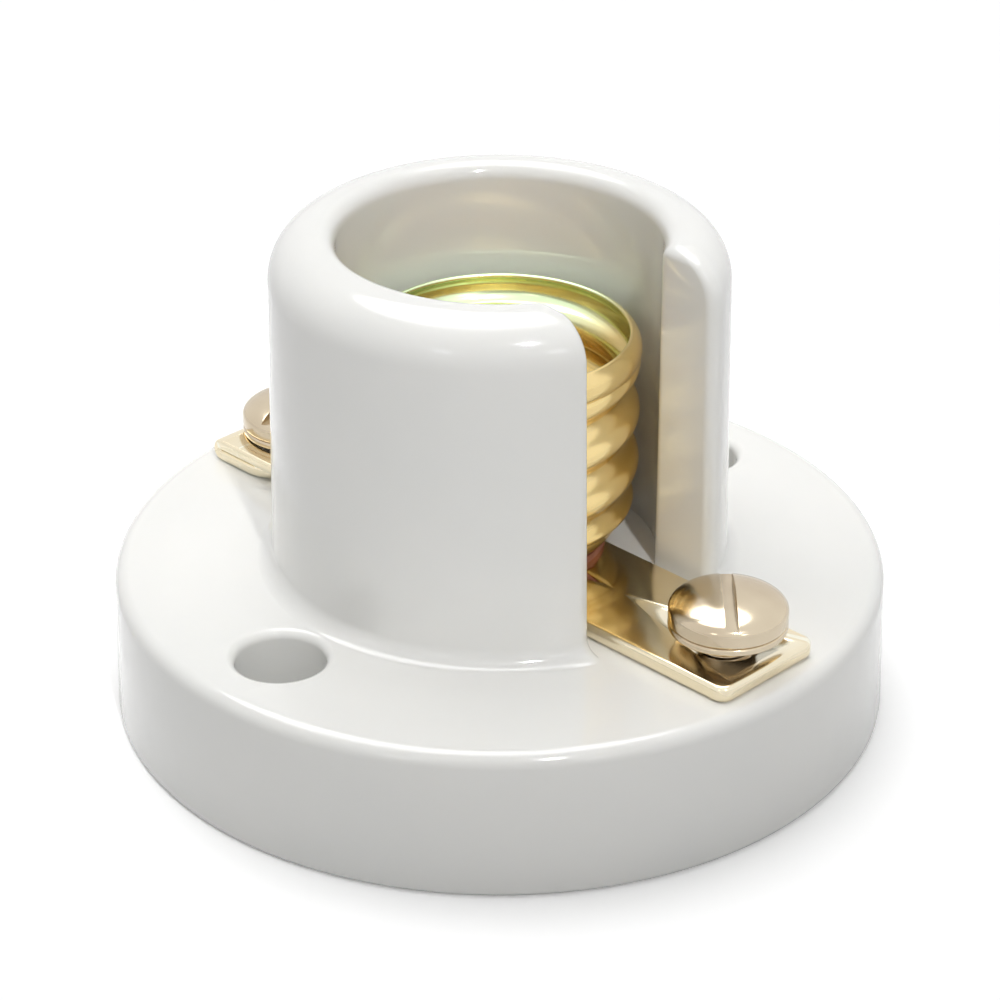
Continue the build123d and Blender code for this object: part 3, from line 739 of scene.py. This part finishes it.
view = {"lens": 115.2, "distance": 0.1696, "elevation": 29.39, "azimuth": -45.0, "tiltUp": 0.8558,
        "panLeft": 0.0072, "target": (0.0, 0.0, 0.008), "sensor": 36.0, "clipStart": 0.01}
camera = bpy.data.objects.new("camera", bpy.data.cameras.new("camera"))
camera.data.lens, camera.data.sensor_width = view["lens"], view["sensor"]
camera.data.clip_start = view["clipStart"]
rise, swing = math.radians(view["elevation"]), math.radians(view["azimuth"])
camera.location = (view["target"][0] + view["distance"] * math.cos(rise) * math.cos(swing),
                   view["target"][1] + view["distance"] * math.cos(rise) * math.sin(swing),
                   view["target"][2] + view["distance"] * math.sin(rise))
camera.rotation_euler = (math.radians(90 - view["elevation"] + view["tiltUp"]), 0,
                         swing + math.radians(90 - view["panLeft"]))
bpy.context.collection.objects.link(camera)
bpy.context.scene.camera = camera
bpy.context.scene.view_settings.view_transform = "Standard"

# the floor is white to the camera and in the metal, and greyer in its bounce
floorLook = {"reach": 4.0, "seen": (0.98, 0.98, 0.98), "bounce": (0.66, 0.66, 0.66), "lift": 0.13, "roughness": 0.8}
floorSpan = [-floorLook["reach"], floorLook["reach"]]
floorGrid = np.stack(np.meshgrid(floorSpan, floorSpan, [0.0], indexing="ij"), -1)
floor = meshFromGrid("floor", floorGrid.reshape(2, 2, 3), flip=True)
floorPaint, floorTree, floorShader = newMaterial("floorPaint", floorLook["seen"], roughness=floorLook["roughness"])
floorTree.links.new(mixColor(floorTree, cameraOrGlossy(floorTree), floorLook["bounce"], floorLook["seen"]),
                    floorShader.inputs["Base Color"])
floorRays, floorLift = floorTree.nodes.new("ShaderNodeLightPath"), floorTree.nodes.new("ShaderNodeMath")
floorLift.operation = "MULTIPLY"
floorLift.inputs[1].default_value = floorLook["lift"]
floorTree.links.new(floorRays.outputs["Is Camera Ray"], floorLift.inputs[0])
floorShader.inputs["Emission Color"].default_value = (1, 1, 1, 1)
floorTree.links.new(floorLift.outputs[0], floorShader.inputs["Emission Strength"])
floor.data.materials.append(floorPaint)

light = {"sky": 0.31, "sun": 1.88, "sunAngle": 50.0, "sunFrom": (-0.28, 0.10, 1.0), "boxSize": 0.09,
         "boxDistance": 0.6, "boxPower": 0.07, "boxRise": 24.0, "boxTurns": (-73.0, -17.0),
         "fillPower": 32.0, "fillRise": 46.0, "fillTurn": -28.0, "fillDistance": 0.5, "fillAngle": 3.4,
         "fillAim": 0.025, "fillSoftness": 0.03}
world = bpy.data.worlds.new("studio")
world.use_nodes = True
bpy.context.scene.world = world
sky = world.node_tree
background = sky.nodes["Background"]
background.inputs["Color"].default_value = (1, 1, 1, 1)
background.inputs["Strength"].default_value = light["sky"]
white = sky.nodes.new("ShaderNodeBackground")
white.inputs["Color"].default_value = (1, 1, 1, 1)
white.inputs["Strength"].default_value = 1.0
skyMix = sky.nodes.new("ShaderNodeMixShader")
sky.links.new(cameraOrGlossy(sky), skyMix.inputs["Fac"])
sky.links.new(background.outputs[0], skyMix.inputs[1])
sky.links.new(white.outputs[0], skyMix.inputs[2])
sky.links.new(skyMix.outputs[0], sky.nodes["World Output"].inputs["Surface"])


def addLamp(name, kind, turn, rise, distance, height):
    # a lamp at the turn and rise about a point on the axis at that height, facing it
    side, up = math.radians(turn), math.radians(rise)
    lamp = bpy.data.objects.new(name, bpy.data.lights.new(name, kind))
    lamp.location = (distance * math.cos(up) * math.cos(side), distance * math.cos(up) * math.sin(side),
                     distance * math.sin(up) + height)
    lamp.rotation_euler = (math.pi / 2 - up, 0, side + math.pi / 2)
    bpy.context.collection.objects.link(lamp)
    return lamp


# a narrow soft spot from the slot's side that reaches into the mouth
fill = addLamp("mouthFill", "SPOT", light["fillTurn"], light["fillRise"], light["fillDistance"], light["fillAim"])
fill.data.energy, fill.data.spot_size = light["fillPower"], math.radians(light["fillAngle"])
fill.data.spot_blend, fill.data.shadow_soft_size = 1.0, light["fillSoftness"]
sun = bpy.data.objects.new("overhead", bpy.data.lights.new("overhead", "SUN"))
sun.data.energy, sun.data.angle = light["sun"], math.radians(light["sunAngle"])
aim = np.array(light["sunFrom"], float)
sun.rotation_euler = (math.acos(aim[2] / np.linalg.norm(aim)), 0, math.atan2(aim[1], aim[0]) + math.pi / 2)
bpy.context.collection.objects.link(sun)
for k, turn in enumerate(light["boxTurns"]):
    box = addLamp("softBox" + str(k), "AREA", turn, light["boxRise"], light["boxDistance"], view["target"][2])
    box.data.size, box.data.energy = light["boxSize"], light["boxPower"]
print("camera and light set")
